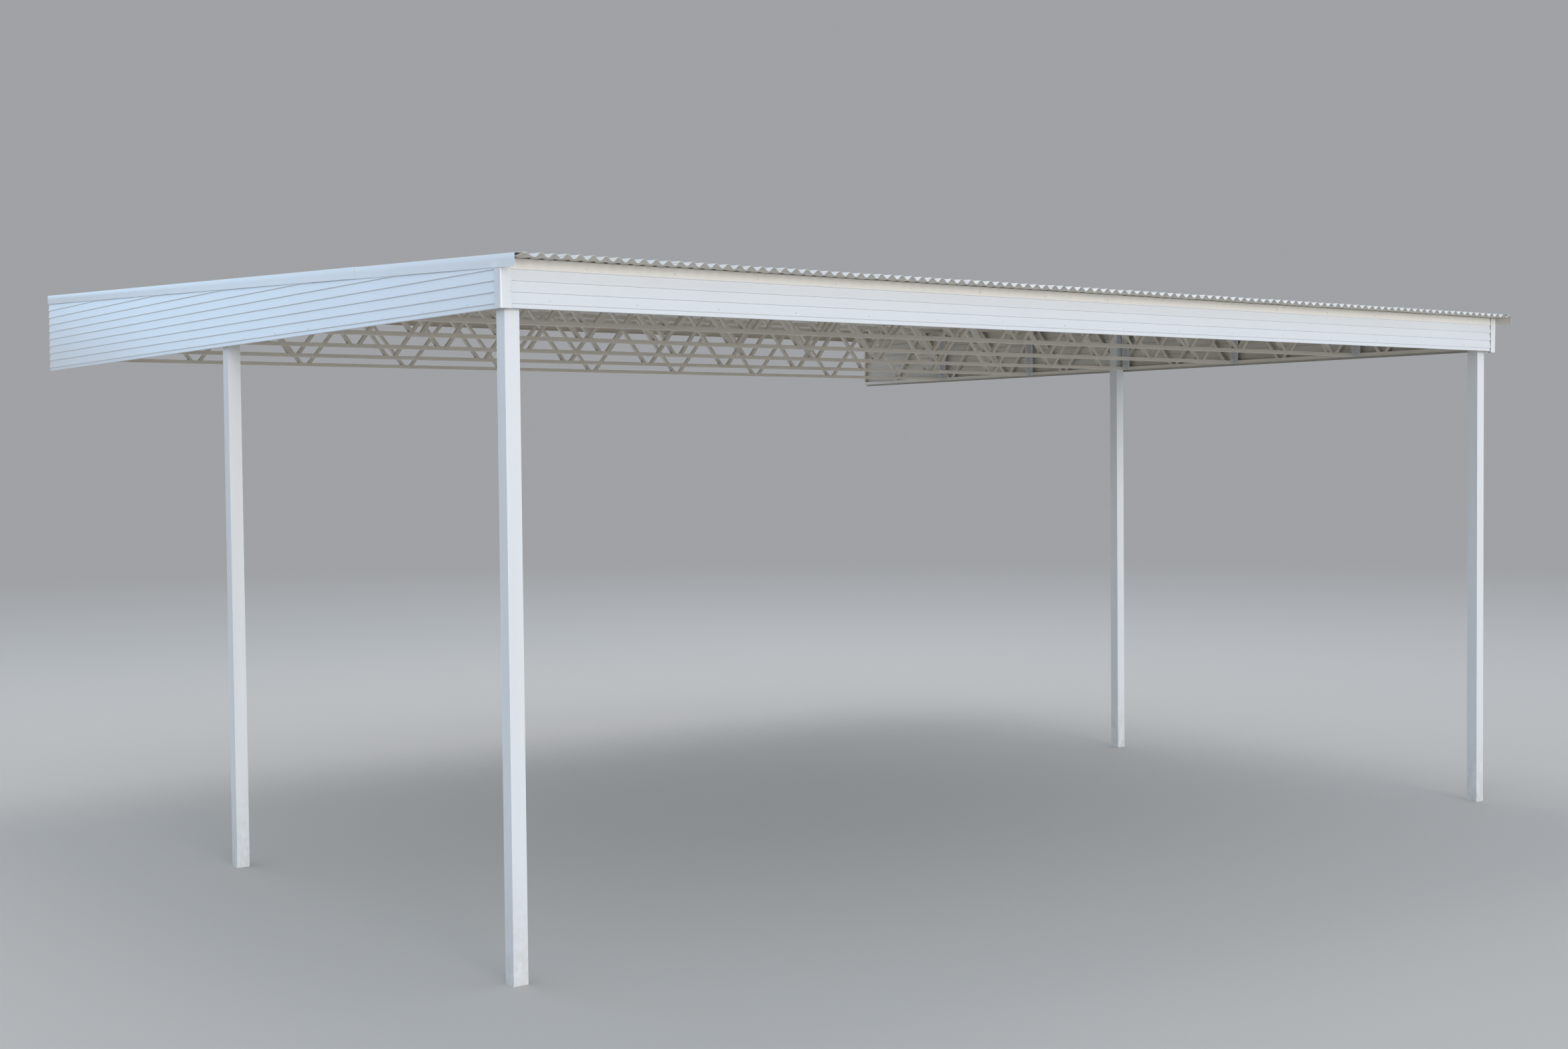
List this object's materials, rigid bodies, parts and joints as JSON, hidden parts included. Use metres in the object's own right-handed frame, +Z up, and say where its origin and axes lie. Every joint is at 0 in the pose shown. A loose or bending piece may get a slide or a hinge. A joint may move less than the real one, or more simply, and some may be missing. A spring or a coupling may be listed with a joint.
{
  "type": "attached steel carport",
  "caption": "Open-frame carport with a gently sloping corrugated roof on open-web joists, ribbed fascias and slim square posts, made to fasten to a wall at the back.",
  "frame": {"origin": "on the ground under the middle of the roof, level with the feet of the posts", "axes": "+Z up, +Y from the open front towards the wall, +X to the right as seen from the front"},
  "size_m": [7.6612, 6.92, 3.6398],
  "materials": {
    "roof_sheets": "satin white paint",
    "posts": "satin white paint",
    "lattices": "satin white paint",
    "fascias": "satin white paint",
    "trims": "satin white paint",
    "ledger": "satin white paint",
    "brackets": "galvanized"
  },
  "bodies": {
    "root": {"corner_trim_left": "trims", "corner_trim_right": "trims", "front_beam": "lattices", "front_fascia": "fascias", "joist_1": "lattices", "joist_2": "lattices", "joist_3": "lattices", "joist_4": "lattices", "joist_5": "lattices", "joist_brackets_left": "brackets", "joist_brackets_right": "brackets", "post_front_left": "posts", "post_front_right": "posts", "post_middle_left": "posts", "post_middle_right": "posts", "rake_trim_front_left": "trims", "rake_trim_front_right": "trims", "rake_trim_rear_left": "trims", "rake_trim_rear_right": "trims", "roof_sheet_01": "roof_sheets", "roof_sheet_02": "roof_sheets", "roof_sheet_03": "roof_sheets", "roof_sheet_04": "roof_sheets", "roof_sheet_05": "roof_sheets", "roof_sheet_06": "roof_sheets", "roof_sheet_07": "roof_sheets", "roof_sheet_08": "roof_sheets", "roof_sheet_09": "roof_sheets", "roof_sheet_10": "roof_sheets", "roof_sheet_11": "roof_sheets", "roof_sheet_12": "roof_sheets", "roof_sheet_13": "roof_sheets", "side_beam_left": "lattices", "side_beam_right": "lattices", "side_fascia_left": "fascias", "side_fascia_right": "fascias", "wall_ledger": "ledger"}
  },
  "joints": []
}
